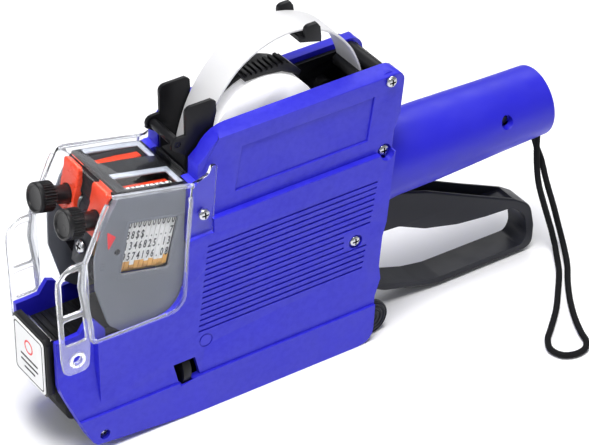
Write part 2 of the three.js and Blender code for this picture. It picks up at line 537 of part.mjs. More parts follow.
function tensionStrip() {
  const [hx, hz] = GUIDE_HINGE;
  // springy strip bowed over the roll, from the hinge at the rear to between the paper guide's ears
  const run = [
    [hx, hz + 2], [138.6, 123], [135, 131], [128, 139.4], [118, 145], [107, 147], [96, 144.8], [86, 139.4],
    [78, 131], [72.2, 121], [68.6, 111], [67.6, 106.6],
  ].map(([a, b]) => new THREE.Vector2(a, b));
  const spine = new THREE.SplineCurve(run).getPoints(34);
  const normal = (i) => {
    const a = spine[Math.max(i - 1, 0)], b = spine[Math.min(i + 1, spine.length - 1)];
    return new THREE.Vector2(b.y - a.y, a.x - b.x).normalize().multiplyScalar(0.4);
  };
  const outerEdge = spine.map((p, i) => [p.x + normal(i).x, p.y + normal(i).y]);
  const innerEdge = spine.map((p, i) => [p.x - normal(i).x, p.y - normal(i).y]).reverse();
  const body = add(slab([...outerEdge, ...innerEdge], -7.8, 7.8), rod(hx, hz, 2.6, -7.8, 7.8));
  place("tension_strip", cut(body, rod(hx, hz, 1.56, -9, 9)), IVORY);
  place("strip_pin", rod(hx, hz, 1.5, -9.9, 9.9, 20), STEEL);
  const lug = [
    [110.8, 142.8], [110.9, 144.2], [113.2, 143.8], ...arc(115.1, 146.7, 1.9, 180, 90, 3), [118.6, 148.6],
    [119.8, 146.8], [120.3, 142.4], [120.2, 140.2],
  ];
  const under = [[111, 144.4], [120.6, 141.9], [120.2, 140.2], [110.8, 142.8]];
  place(
    "strip_saddle",
    add(both(8.1, 10, (a, b) => slab(lug, a, b)), slab(under, -8.4, 8.4)),
    BLACK,
  );
}

// ---- clear cover over the print head ----
function clearCover() {
  const side = [
    [22.6, 114], [21, 112], [16.3, 99.6], [11.6, 89.5], [9.9, 77.6], [12.4, 58], [12.6, 51.4], [33, 51.4],
    ...arc(41, 62.6, 11.2, -90, -12, 5), [54.3, 77.7], [57, 104], [60.4, 105.6],
  ];
  let body = both(18.9, 20.5, (a, b) => slab(side, a, b));
  const roof = [[22.4, 114.1], [22, 112.4], [60.2, 103.8], [60.6, 105.5]];
  body = body.add(slab(roof, -20.5, 20.5));
  const flange = [
    [57, 80.9], [65.6, 80.9], [67.6, 107], [66.4, 109.4], [64.4, 109.4], [60.6, 105.6], [58, 104.4],
  ];
  const ear = [
    [12.4, 88], [5.7, 88], [2.6, 86.6], [0, 83.6], [-1, 80], [-0.6, 62], [-0.2, 47], [1.4, 43],
    [4.4, 40], [8, 39.6], [11.6, 42.4], [12.3, 46], [12.6, 52], [12.4, 58],
  ];
  const openings = [
    [[2, 82], [4.6, 85], [8.6, 85], [8.2, 78], [9.4, 68], [1.6, 68]],
    [[1.7, 65], [9.6, 65], [10.4, 55.4], [2, 55.4]],
  ];
  for (const s of [-1, 1]) {
    body = add(body, slab(flange, s * (FACE_UP + FIT), s * 19.6), slab(ear, s * 17.5, s * 19.2));
    for (const o of openings) body = cut(body, slab(o, s * 17, s * 19.5));
    body = cut(body, rod(6.4, 47, 1.8, s * 17, s * 21, 20), rod(61.8, 90.6, 1.6, s * 17, s * 22, 20));
  }
  place("clear_cover", body, CLEAR);
}

function screws() {
  SCREWS.forEach(([sx, sz], i) => {
    for (const s of [-1, 1]) {
      const seat = i === 3 ? 19.9 : SCREW_FACE[i] - SCREW_SUNK[i] + FIT;
      let body = rod(sx, sz, SCREW_R, s * seat, s * (seat + 1.5), 16);
      body = body.add(rod(sx, sz, 1.2, s * 9.4, s * (seat + 0.2), 12));
      body = cut(body, box(sx - 1.5, sx + 1.5, s * (seat + 0.8), s * (seat + 2), sz - 0.3, sz + 0.3));
      body = cut(body, box(sx - 0.3, sx + 0.3, s * (seat + 0.8), s * (seat + 2), sz - 1.5, sz + 1.5));
      place(`screw_${["top", "rear", "mid", "cover"][i]}_${s < 0 ? "left" : "right"}`, body, STEEL);
    }
  });
}

for (const s of [-1, 1]) sideCover(s);
chassis();
paperGuide();
handle();
strap();
lever();
headFrame();
for (const s of [-1, 1]) headSide(s);
headFront();
for (const s of [-1, 1]) printLine(s);
inkRoller();
nose();
feedWheel();
bottomCover();
labelRoll();
tensionStrip();
clearCover();
screws();

export default group;
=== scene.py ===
import math

import bmesh
import bpy
from mathutils import Matrix, Vector


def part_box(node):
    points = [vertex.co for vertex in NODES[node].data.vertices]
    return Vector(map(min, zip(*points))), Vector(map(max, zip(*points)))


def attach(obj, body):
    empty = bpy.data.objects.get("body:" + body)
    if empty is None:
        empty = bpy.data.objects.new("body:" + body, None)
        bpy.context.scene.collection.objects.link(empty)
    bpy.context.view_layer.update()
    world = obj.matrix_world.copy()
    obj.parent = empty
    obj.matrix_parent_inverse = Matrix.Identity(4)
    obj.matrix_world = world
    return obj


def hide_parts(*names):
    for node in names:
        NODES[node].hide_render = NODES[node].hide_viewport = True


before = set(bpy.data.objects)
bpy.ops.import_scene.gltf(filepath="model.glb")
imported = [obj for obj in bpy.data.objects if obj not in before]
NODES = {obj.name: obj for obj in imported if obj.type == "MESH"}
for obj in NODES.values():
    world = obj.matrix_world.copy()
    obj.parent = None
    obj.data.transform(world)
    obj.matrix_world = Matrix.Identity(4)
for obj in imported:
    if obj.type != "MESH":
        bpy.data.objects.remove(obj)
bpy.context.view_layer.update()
MM = 0.001
X_MID = 113.2  # x of the frame's origin, counted from the nose, in mm
SIDES = (("left", -1), ("right", 1))  # name and sign of y
# axes along y, as (x, z) in mm from the nose and the resting plane
HEAD_PIVOT = (114.8, 72.0)
LEVER_PIVOT = (124.0, 40.0)
LATCH_AXIS = (140.0, 8.1)
STRIP_KNUCKLE = (139.8, 116.4)
COVER_SCREW = (61.8, 90.6)
EAR_HOLE = (6.2, 46.4)
STRAP_PIN = (206, 75)
HINGE_PIN = (15.7, 7.7)
INK_PIVOT = (25.0, 66.0)  # in the head, drawn head down
HEAD_REST = math.radians(13.0)  # how far the head is raised at rest


def placed(x, y, z):
    """A point given in mm from the nose, the mid plane and the resting plane."""
    return Vector(((x - X_MID) * MM, y * MM, z * MM))


def raised(x, y, z):
    """A point of the print head, given with the head down, where it rests."""
    dx, dz = x - HEAD_PIVOT[0], z - HEAD_PIVOT[1]
    c, s = math.cos(HEAD_REST), math.sin(HEAD_REST)
    return placed(HEAD_PIVOT[0] + dx * c + dz * s, y, HEAD_PIVOT[1] - dx * s + dz * c)


# ---------------------------------------------------------------- camera
AZIMUTH, ELEVATION = -33.5, 35.5
CAMERA_AT = (-0.53706, -0.81410, 0.75046)
LENS, SENSOR = 189.4737, 36.0  # mm


def camera():
    az, el = math.radians(AZIMUTH), math.radians(ELEVATION)
    back = Vector((math.sin(az) * math.cos(el), -math.cos(az) * math.cos(el), math.sin(el)))
    right = Vector((0, 0, 1)).cross(back).normalized()
    up = back.cross(right)
    data = bpy.data.cameras.new("camera")
    data.sensor_width = SENSOR
    data.lens = LENS
    data.clip_start, data.clip_end = 0.05, 20.0
    cam = bpy.data.objects.new("camera", data)
    rot = Matrix((right, up, back)).transposed()
    cam.matrix_world = Matrix.Translation(CAMERA_AT) @ rot.to_4x4()
    bpy.context.scene.collection.objects.link(cam)
    bpy.context.scene.camera = cam
    bpy.context.scene.view_settings.view_transform = "Standard"


camera()


# ---------------------------------------------------------------- node helpers
def material(name):
    m = bpy.data.materials.new(name)
    m.use_nodes = True
    return m, m.node_tree, m.node_tree.nodes["Principled BSDF"]


def link(tree, a, b):
    tree.links.new(a, b)


def object_coords(tree):
    return tree.nodes.new("ShaderNodeTexCoord").outputs["Object"]


def noise(tree, coords, scale, detail=4.0, rough=0.55, stretch=None):
    if stretch:
        mapping = tree.nodes.new("ShaderNodeMapping")
        mapping.inputs["Scale"].default_value = stretch
        link(tree, coords, mapping.inputs["Vector"])
        coords = mapping.outputs["Vector"]
    n = tree.nodes.new("ShaderNodeTexNoise")
    n.inputs["Scale"].default_value = scale
    n.inputs["Detail"].default_value = detail
    n.inputs["Roughness"].default_value = rough
    link(tree, coords, n.inputs["Vector"])
    return n.outputs["Fac"]


def ramp(tree, value, lo, hi, frm=0.0, to=1.0):
    r = tree.nodes.new("ShaderNodeMapRange")
    r.inputs["From Min"].default_value = frm
    r.inputs["From Max"].default_value = to
    r.inputs["To Min"].default_value = lo
    r.inputs["To Max"].default_value = hi
    link(tree, value, r.inputs["Value"])
    return r.outputs["Result"]


def mix_color(tree, fac, a, b):
    """a where fac is 0 and b where it is 1; each is a color or a socket."""
    m = tree.nodes.new("ShaderNodeMix")
    m.data_type = "RGBA"
    link(tree, fac, m.inputs["Factor"])
    for socket, value in ((m.inputs["A"], a), (m.inputs["B"], b)):
        if isinstance(value, tuple):
            socket.default_value = (*value, 1.0)
        else:
            link(tree, value, socket)
    return m.outputs["Result"]


def bump(tree, bsdf, heights):
    """heights: (socket, strength, distance in m), chained."""
    last = None
    for height, strength, distance in heights:
        b = tree.nodes.new("ShaderNodeBump")
        b.inputs["Strength"].default_value = strength
        b.inputs["Distance"].default_value = distance
        link(tree, height, b.inputs["Height"])
        if last:
            link(tree, last, b.inputs["Normal"])
        last = b.outputs["Normal"]
    link(tree, last, bsdf.inputs["Normal"])


def edge_wear(tree, coords):
    """Brighter where an edge stands out, broken up by noise."""
    geo = tree.nodes.new("ShaderNodeNewGeometry")
    edge = ramp(tree, geo.outputs["Pointiness"], 0.0, 1.0, 0.53, 0.62)
    m = tree.nodes.new("ShaderNodeMath")
    m.operation = "MULTIPLY"
    link(tree, edge, m.inputs[0])
    link(tree, ramp(tree, noise(tree, coords, 420.0, 5), 0.25, 1.0, 0.35, 0.6), m.inputs[1])
    return m.outputs[0]


def shade(color, factor):
    return tuple(min(1.0, c * factor) for c in color)


# ---------------------------------------------------------------- materials
def plastic(name, color, rough, grain=0.10, vary=0.06, wear=0.25, spec=0.5):
    """Moulded plastic: fine spark-eroded grain, slight shade and gloss variation, rubbed edges."""
    m, t, b = material(name)
    co = object_coords(t)
    cloud = noise(t, co, 34.0, 3)
    base = mix_color(t, ramp(t, cloud, 0, 1, 0.35, 0.65), shade(color, 1 - vary), shade(color, 1 + vary))
    rubbed = tuple(min(1.0, c * 1.25 + 0.035) for c in color)
    wear_fac = ramp(t, edge_wear(t, co), 0.0, wear)
    link(t, mix_color(t, wear_fac, base, rubbed), b.inputs["Base Color"])
    fine = noise(t, co, 2600.0, 2, 0.6)
    smudge = noise(t, co, 70.0, 5, 0.62, stretch=(1.0, 1.0, 1.7))
    link(t, ramp(t, smudge, rough * 0.8, rough * 1.25, 0.3, 0.7), b.inputs["Roughness"])
    b.inputs["Specular IOR Level"].default_value = spec
    bump(t, b, [(fine, grain, 0.00004), (noise(t, co, 160.0, 3), 0.06, 0.0002)])
    return m


def steel(name, color, rough):
    """Plated metal with fine scratches."""
    m, t, b = material(name)
    co = object_coords(t)
    b.inputs["Metallic"].default_value = 1.0
    scratch = noise(t, co, 900.0, 4, 0.6, stretch=(1.0, 0.15, 1.0))
    link(t, mix_color(t, noise(t, co, 300.0, 3), shade(color, 0.82), color), b.inputs["Base Color"])
    link(t, ramp(t, scratch, rough * 0.6, rough * 1.6, 0.3, 0.7), b.inputs["Roughness"])
    bump(t, b, [(scratch, 0.12, 0.00003)])
    return m


def clear_plastic(name, through, rough, bend):
    """Clear moulded plastic; through below 1 adds a whitish diffuse part, partly the milky look of a thick
    rim and partly a painted highlight on its edges.
    """
    m, t, b = material(name)
    co = object_coords(t)
    b.inputs["Base Color"].default_value = (0.965, 0.975, 0.99, 1)
    b.inputs["Transmission Weight"].default_value = through
    b.inputs["IOR"].default_value = bend
    haze = noise(t, co, 60.0, 4)
    scratch = noise(t, co, 1400.0, 3, 0.6, stretch=(0.08, 1.0, 1.0))
    link(t, ramp(t, haze, rough, rough * 1.6 + 0.03, 0.35, 0.7), b.inputs["Roughness"])
    bump(t, b, [(noise(t, co, 45.0, 2), 0.05, 0.0004), (scratch, 0.03, 0.00002)])
    # shadow rays pass, as through thin clear plastic
    path = t.nodes.new("ShaderNodeLightPath")
    see = t.nodes.new("ShaderNodeBsdfTransparent")
    see.inputs["Color"].default_value = (0.90, 0.91, 0.94, 1)
    mix = t.nodes.new("ShaderNodeMixShader")
    link(t, path.outputs["Is Shadow Ray"], mix.inputs["Fac"])
    link(t, b.outputs["BSDF"], mix.inputs[1])
    link(t, see.outputs["BSDF"], mix.inputs[2])
    link(t, mix.outputs["Shader"], t.nodes["Material Output"].inputs["Surface"])
    return m


def paper(name, color):
    """Matt paper with a fine fibre."""
    m, t, b = material(name)
    co = object_coords(t)
    fibre = noise(t, co, 1500.0, 6, 0.7, stretch=(1.0, 0.35, 1.0))
    link(t, mix_color(t, noise(t, co, 40.0, 3), shade(color, 0.97), color), b.inputs["Base Color"])
    link(t, ramp(t, fibre, 0.55, 0.8), b.inputs["Roughness"])
    b.inputs["Specular IOR Level"].default_value = 0.3
    bump(t, b, [(fibre, 0.15, 0.00003)])
    return m


def milky(name, color, knuckle, radius=0.003):
    """Thin milky plastic that lets some light through, black up to a radius round the knuckle's axis."""
    m, t, b = material(name)
    co = object_coords(t)
    flat = t.nodes.new("ShaderNodeVectorMath")
    flat.operation = "MULTIPLY"
    flat.inputs[1].default_value = (1, 0, 1)
    link(t, co, flat.inputs[0])
    away = t.nodes.new("ShaderNodeVectorMath")
    away.operation = "DISTANCE"
    away.inputs[1].default_value = (knuckle[0], 0, knuckle[2])
    link(t, flat.outputs["Vector"], away.inputs[0])
    cloud = mix_color(t, noise(t, co, 60.0, 3), shade(color, 0.95), color)
    outside = ramp(t, away.outputs["Value"], 0, 1, radius - 0.0001, radius + 0.0001)
    link(t, mix_color(t, outside, (0.008, 0.008, 0.009), cloud), b.inputs["Base Color"])
    b.inputs["Transmission Weight"].default_value = 0.22
    link(t, ramp(t, noise(t, co, 90.0, 4), 0.35, 0.6, 0.3, 0.7), b.inputs["Roughness"])
    bump(t, b, [(noise(t, co, 1800.0, 2), 0.08, 0.00003)])
    return m


def rolled_paper(name):
    """The side of a wound roll: fine rings round its axis, with a few darker turns."""
    m, t, b = material(name)
    co = object_coords(t)
    low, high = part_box("label_roll")
    mapping = t.nodes.new("ShaderNodeMapping")
    mapping.inputs["Location"].default_value = (-(low.x + high.x) / 2, 0, -(low.z + high.z) / 2)
    link(t, co, mapping.inputs["Vector"])
    sep = t.nodes.new("ShaderNodeSeparateXYZ")
    link(t, mapping.outputs["Vector"], sep.inputs[0])
    comb = t.nodes.new("ShaderNodeCombineXYZ")
    link(t, sep.outputs["X"], comb.inputs["X"])
    link(t, sep.outputs["Z"], comb.inputs["Y"])
    wave = t.nodes.new("ShaderNodeTexWave")
    wave.wave_type = "RINGS"
    wave.rings_direction = "SPHERICAL"
    wave.inputs["Scale"].default_value = 1000.0
    wave.inputs["Distortion"].default_value = 0.6
    link(t, comb.outputs[0], wave.inputs["Vector"])
    soft = noise(t, co, 90.0, 3)
    base = mix_color(t, ramp(t, wave.outputs["Fac"], 0.0, 0.35), (0.95, 0.95, 0.955), (0.86, 0.86, 0.875))
    link(t, mix_color(t, ramp(t, soft, 0, 0.5, 0.3, 0.8), base, (0.93, 0.93, 0.93)), b.inputs["Base Color"])
    b.inputs["Roughness"].default_value = 0.85
    b.inputs["Specular IOR Level"].default_value = 0.15
    b.inputs["Emission Color"].default_value = (1, 1, 1, 1)
    b.inputs["Emission Strength"].default_value = 0.32  # painted light: a glow that brightens the roll's side, which sits in the covers' shade
    bump(t, b, [(wave.outputs["Fac"], 0.15, 0.00003)])
    return m


def rubber(name, color, rough=0.75, scale=1800.0, spec=0.35):
    """A matt dark material: rubber, foam, dried ink or braid, by its roughness and grain."""
    m, t, b = material(name)
    b.inputs["Specular IOR Level"].default_value = spec
    co = object_coords(t)
    link(t, mix_color(t, noise(t, co, 200.0, 4), shade(color, 0.8), color), b.inputs["Base Color"])
    link(t, ramp(t, noise(t, co, 120.0, 4), rough * 0.85, min(1.0, rough * 1.15)), b.inputs["Roughness"])
    bump(t, b, [(noise(t, co, scale, 3), 0.25, 0.00006)])
    return m


MAT = {
    "blue": plastic("blue_plastic", (0.014, 0.012, 0.50), 0.43, grain=0.12, vary=0.05, spec=0.42),
    "black": plastic("black_plastic", (0.006, 0.006, 0.0075), 0.36, 0.14, vary=0.1, wear=0.1, spec=0.22),
    "knob": plastic("knob_plastic", (0.008, 0.008, 0.009), 0.32, vary=0.1, wear=0.3, spec=0.4),
    "lever": plastic("lever_plastic", (0.018, 0.019, 0.026), 0.38, grain=0.12, vary=0.1, wear=0.1, spec=0.2),
    "panel": plastic("panel_plastic", (0.15, 0.16, 0.185), 0.45, vary=0.05, wear=0.2, spec=0.4),
    "bezel": plastic("bezel_plastic", (0.30, 0.315, 0.35), 0.4, vary=0.05, wear=0.2),
    "orange": plastic("orange_plastic", (0.72, 0.046, 0.010), 0.30, grain=0.08, wear=0.2),
    "red": plastic("red_mark", (0.80, 0.02, 0.03), 0.4, grain=0.08, wear=0.1),
    "ivory": plastic("ivory_plastic", (0.86, 0.85, 0.82), 0.5, grain=0.08, vary=0.03, wear=0.1),
    "amber": plastic("stained_band", (0.84, 0.42, 0.10), 0.55, grain=0.2, vary=0.25, wear=0.1),
    # recess: near black that paints the shade inside screw and pin recesses
    "recess": plastic("recess_painted_shade", (0.003, 0.003, 0.003), 0.7, grain=0.05, wear=0.05, spec=0.1),
    "strip": milky("milky_strip", (0.80, 0.80, 0.815), placed(STRIP_KNUCKLE[0], 0, STRIP_KNUCKLE[1])),
    "steel": steel("plated_steel", (0.62, 0.63, 0.65), 0.22),
    "clear": clear_plastic("clear_plastic", 1.0, 0.012, 1.27),
    # rim: thick clear rims whose whitish finish is partly a painted highlight
    "rim": clear_plastic("clear_rim", 0.86, 0.06, 1.46),
    "paper": paper("label_paper", (0.88, 0.88, 0.88)),
    # roll: its glow is painted light
    "roll": rolled_paper("wound_labels"),
    "rubber": rubber("black_rubber", (0.014, 0.014, 0.015)),
    "cord": rubber("braided_cord", (0.005, 0.005, 0.006), 0.8, 2400.0, spec=0.2),
    "foam": rubber("ink_foam", (0.012, 0.012, 0.018), 0.95, 900.0),
    "ink": rubber("character_ink", (0.012, 0.012, 0.014), 0.6),
}


# ---------------------------------------------------------------- shapes, in mm from the nose
def arc(a, b, r, start, end, steps):
    """Points on an arc round (a, b), from one angle to another in degrees."""
    turn = [math.radians(start + (end - start) * i / steps) for i in range(steps + 1)]
    return [(a + r * math.cos(t), b + r * math.sin(t)) for t in turn]


def circle(a, b, r, steps=48):
    """A round outline about (a, b)."""
    return arc(a, b, r, 0, 360 - 360 / steps, steps - 1)


def fillet(points, radius, steps=5):
    """An outline with its corners rounded; a point may carry its own radius as a third number."""
    out = []
    for i, point in enumerate(points):
        p = Vector(point[:2])
        r = point[2] if len(point) > 2 else radius
        a = Vector(points[i - 1][:2]) - p
        b = Vector(points[(i + 1) % len(points)][:2]) - p
        span = 0.48 * min(a.length, b.length)
        a.normalize()
        b.normalize()
        corner = a.angle(b)
        if corner > math.radians(177):
            out.append((p.x, p.y))
            continue
        t = min(r / math.tan(corner / 2), span)
        for k in range(steps + 1):
            u = k / steps
            q = p + a * t * (1 - u) ** 2 + b * t * u**2
            out.append((q.x, q.y))
    return out


def moved(mesh, rule):
    """The mesh with each of its points put where the rule says."""
    for v in mesh.vertices:
        v.co = rule(*v.co)
    return mesh


def sided(mesh, s, x, y, z):
    """The mesh moved to (x, y, z), on the left side (s = -1) as its mirror image."""
    return moved(mesh, lambda a, b, c: (a + x, s * (y + b), c + z))


def cleaned(mesh, merge=True):
    """The mesh with its doubled points merged and its faces turned outwards."""
    bm = bmesh.new()
    bm.from_mesh(mesh)
    if merge:
        bmesh.ops.remove_doubles(bm, verts=bm.verts, dist=0.002)
    bmesh.ops.recalc_face_normals(bm, faces=bm.faces)
    bm.to_mesh(mesh)
    bm.free()
    return mesh


def plate(loops, lo, hi, plane="xz", edge=0.3, steps=3):
    """A flat piece between lo and hi, with rounded edges; the loops after the first are holes."""
    data = bpy.data.curves.new("outline", "CURVE")
    data.dimensions = "2D"
    data.fill_mode = "BOTH"
    data.extrude = (hi - lo) / 2 - edge
    data.bevel_depth = edge
    data.offset = -edge
    data.bevel_resolution = steps
    for loop in loops:
        line = data.splines.new("POLY")
        line.points.add(len(loop) - 1)
        for point, (a, b) in zip(line.points, loop):
            point.co = (a, b, 0, 1)
        line.use_cyclic_u = True
    temp = bpy.data.objects.new("outline", data)
    mesh = bpy.data.meshes.new_from_object(temp)
    bpy.data.objects.remove(temp)
    mid = (lo + hi) / 2
    place = {
        "xz": lambda a, b, c: (a, mid - c, b),
        "xy": lambda a, b, c: (a, b, mid + c),
        "yz": lambda a, b, c: (mid + c, a, b),
    }[plane]
    return cleaned(moved(mesh, place))


AROUND = {"x": ((0, 1, 0), (0, 0, 1)), "y": ((0, 0, 1), (1, 0, 0)), "z": ((1, 0, 0), (0, 1, 0))}


def lathe(profile, centre, axis, steps, swell=None):
    """A turned solid: profile is (radius, height along the axis) from one pole to the other."""
    verts, rings = [], []
    across, over = (Vector(v) for v in AROUND[axis])
    along = across.cross(over)
    for row, (r, h) in enumerate(profile):
        ring = []
        for k in range(1 if r < 1e-6 else steps):
            t = 2 * math.pi * k / steps
            rr = r + (swell(row, t) if swell else 0)
            spot = across * rr * math.cos(t) + over * rr * math.sin(t) + along * h
            ring.append(len(verts))
            verts.append(Vector(centre) + spot)
        rings.append(ring)
    faces = []
    for low, high in zip(rings, rings[1:]):
        for k in range(steps):
            n = (k + 1) % steps
            corner = [low[k % len(low)], low[n % len(low)], high[n % len(high)], high[k % len(high)]]
            faces.append(list(dict.fromkeys(corner)))
    mesh = bpy.data.meshes.new("turned")
    mesh.from_pydata(verts, [], [f for f in faces if len(f) > 2])
    return cleaned(mesh)


def tube(rings, name):
    """A closed tube through equal rings of points."""
    n = len(rings[0])
    faces = []
    for i in range(0, (len(rings) - 1) * n, n):
        for k in range(n):
            m = (k + 1) % n
            faces.append((i + k, i + m, i + n + m, i + n + k))
    faces.append(tuple(range(n - 1, -1, -1)))
    faces.append(tuple(range((len(rings) - 1) * n, len(rings) * n)))
    mesh = bpy.data.meshes.new(name)
    mesh.from_pydata([v for ring in rings for v in ring], [], faces)
    return mesh


def directions(line):
    """At each point of a line, the unit vector along it."""
    spans = zip([line[0], *line], [*line[1:], line[-1]])
    return [(b - a).normalized() for a, b in spans]


def boolean(a, b, operation="DIFFERENCE"):
    """Mesh a cut by mesh b, or what the two share."""
    first, second = (bpy.data.objects.new("part", m) for m in (a, b))
    for o in (first, second):
        bpy.context.scene.collection.objects.link(o)
    mod = first.modifiers.new("boolean", "BOOLEAN")
    mod.operation = operation
    mod.object = second
    mod.solver = "EXACT"
    graph = bpy.context.evaluated_depsgraph_get()
    out = bpy.data.meshes.new_from_object(first.evaluated_get(graph))
    for o in (first, second):
        bpy.data.objects.remove(o)
    return out


def joined(*meshes):
    """One mesh that holds all of the meshes, each with its own faces."""
    bm = bmesh.new()
    for m in meshes:
        bm.from_mesh(m)
    out = bpy.data.meshes.new("joined")
    bm.to_mesh(out)
    bm.free()
    return out


def shade_smooth(o, degrees):
    bpy.context.view_layer.objects.active = o
    o.select_set(True)
    bpy.ops.object.shade_smooth_by_angle(angle=math.radians(degrees))
    o.select_set(False)


def rounded(o, width, degrees):
    """Rounds, to a width in mm, the edges that turn by more than an angle."""
    b = o.modifiers.new("bevel", "BEVEL")
    b.width = width * MM
    b.segments = 2
    b.limit_method = "ANGLE"
    b.angle_limit = math.radians(degrees)


def piece(name, mesh, mats, body, replaced=(), head=False, smooth=35):
    """Puts a mesh given in mm where it belongs, as a piece that rides on a body."""
    moved(mesh, raised if head else placed)
    kinds = [f.material_index for f in mesh.polygons]
    mesh.materials.clear()
    for mat in mats.split():
        mesh.materials.append(MAT[mat])
    for f, kind in zip(mesh.polygons, kinds):
        f.material_index = kind
    o = bpy.data.objects.new(name, mesh)
    bpy.context.scene.collection.objects.link(o)
    shade_smooth(o, smooth)
    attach(o, body)
    if replaced:
        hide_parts(*replaced)
    return o


# ---------------------------------------------------------------- wrist strap
ROUTE = [  # the cord's middle, from one hole under the handle's end to the other
    (226.1, -8.3, 60.4), (225.7, -8.8, 52), (226.2, -9, 43), (227.5, -9.1, 34.5), (229.8, -9.3, 26),
    (232.2, -9.8, 17.6), (233.9, -11.2, 9.8), (233.8, -14, 4.4), (231.6, -18.4, 2.1), (226.6, -26.4, 1.6),
    (218.6, -36.3, 1.6), (209.7, -46.5, 1.6), (200.9, -54.8, 1.6), (194.8, -60.6, 1.6), (192.2, -66.4, 1.6),
    (194, -71.4, 1.6), (198.6, -73.6, 1.6), (203.6, -73, 1.6), (207, -69.8, 1.6), (209.1, -63.6, 1.6),
    (212.8, -54.8, 1.6), (218.5, -44.3, 1.6), (225.4, -33.8, 1.6), (232.2, -24.6, 1.7), (236.6, -17, 2.8),
    (238.4, -11.8, 6.6), (237.8, -9.5, 13), (235.6, -9, 21.4), (232.8, -9, 30), (230.6, -8.9, 37.6),
    (229.2, -7.8, 45), (228.2, -5.2, 51), (227.7, -3.7, 56), (227.7, -3.6, 60.4),
]
CORD_R, WEAVE = 1.3, 0.16  # the cord's radius and how deep its weave is
CORD_SIDES, STRANDS, LAY = 24, 8, 5.2  # points round the cord, strands each way, length of one turn


def through(points, step):
    """A smooth line through the points (centripetal Catmull-Rom), as points about step apart."""
    pts = [Vector(p) for p in points]
    pts = [pts[0] * 2 - pts[1]] + pts + [pts[-1] * 2 - pts[-2]]
    line = []
    for a, b, c, d in zip(pts, pts[1:], pts[2:], pts[3:]):
        t1 = (b - a).length ** 0.5
        t2 = t1 + (c - b).length ** 0.5
        t3 = t2 + (d - c).length ** 0.5
        n = max(1, round((c - b).length / step))
        for i in range(n):
            t = t1 + (t2 - t1) * i / n
            ab = a.lerp(b, t / t1)
            bc = b.lerp(c, (t - t1) / (t2 - t1))
            cd = c.lerp(d, (t - t2) / (t3 - t2))
            early = ab.lerp(bc, t / t2)
            late = bc.lerp(cd, (t - t1) / (t3 - t1))
            line.append(early.lerp(late, (t - t1) / (t2 - t1)))
    return line + [pts[-2]]


def strap():
    """The braided wrist cord, as a piece on the frame."""
    line = through(ROUTE, 0.45)
    rings = []
    normal = Vector((0, 1, 0))
    run = 0.0
    for i, (p, ahead) in enumerate(zip(line, directions(line))):
        normal = (normal - ahead * normal.dot(ahead)).normalized()
        across = ahead.cross(normal)
        if i:
            run += (p - line[i - 1]).length
        ring = []
        for k in range(CORD_SIDES):
            t = 2 * math.pi * k / CORD_SIDES
            over = math.cos(STRANDS * (t / 2 + math.pi * run / LAY)) ** 2
            under = math.cos(STRANDS * (t / 2 - math.pi * run / LAY)) ** 2
            r = CORD_R - WEAVE + WEAVE * max(over, under)
            ring.append(p + (normal * math.cos(t) + across * math.sin(t)) * r)
        rings.append(ring)
    mesh = tube(rings, "wrist_strap_braid")
    o = piece("wrist_strap_braid", mesh, "cord", "frame", ["wrist_strap"], smooth=70)


strap()


# ---------------------------------------------------------------- CAD nodes that keep their own shape
FLAT = math.radians(0.6)  # faces that turn by less than this count as one flat face


def dress(name, mat, width):
    """A CAD node with its edges rounded by modifiers and a finished material."""
    o = NODES[name]
    for slot in o.material_slots:
        slot.material = MAT[mat]
    if not o.material_slots:
        o.data.materials.append(MAT[mat])
    w = o.modifiers.new("weld", "WELD")
    w.merge_threshold = 0.00001
    d = o.modifiers.new("planar", "DECIMATE")
    d.decimate_type = "DISSOLVE"
    d.angle_limit = FLAT
    rounded(o, width, 28)
    shade_smooth(o, 32)


DRESS = {  # node: material and width of its rounded edges in mm; the rest are steel
    "side_cover_left": ("blue", 0.5), "side_cover_right": ("blue", 0.5),
    "chassis": ("black", 0.2), "paper_guide": ("black", 0.4), "guide_roller": ("black", 0.3),
    "head_frame": ("black", 0.25), "ink_arm": ("black", 0.2), "nose_door": ("black", 0.3),
    "roller_cradle": ("black", 0.2), "feed_wheel": ("black", 0.2), "position_wheel": ("black", 0.3),
    "bottom_cover": ("black", 0.3), "roll_holder": ("black", 0.15), "strip_saddle": ("black", 0.3),
    "head_front_plate": ("lever", 0.2), "pointer_left": ("orange", 0.1), "pointer_right": ("orange", 0.1),
    "print_wheels_left": ("ivory", 0.1), "print_wheels_right": ("ivory", 0.1),
    "tension_strip": ("strip", 0.1),
    "foot_roller_1": ("rubber", 0.3), "foot_roller_2": ("rubber", 0.3), "ink_roller": ("foam", 0.3),
    # the steel strap pin takes the black finish: painted shade that makes the handle's pin holes read dark
    "label_roll": ("roll", 0.15), "strap_pin": ("black", 0.1),
}
for node_name in NODES:
    mat_name, width = DRESS.get(node_name, ("steel", 0.12))
    dress(node_name, mat_name, width)


# ---------------------------------------------------------------- side covers and clear cover
RIM_OUT, RIM_UP = 17, 84  # only edges further out and higher than this are rounded
COVER_SIDE = [  # the clear cover's outline from the side
    (22.6, 114), (16.3, 99.6, 6), (11.2, 88.5, 8), (9.9, 77.6, 8), (12.4, 58, 3), (12.6, 51.4, 1),
    (52.4, 51.4, 11), (54.3, 77.7, 6), (57, 104, 1), (60.4, 105.6, 0.5),
]


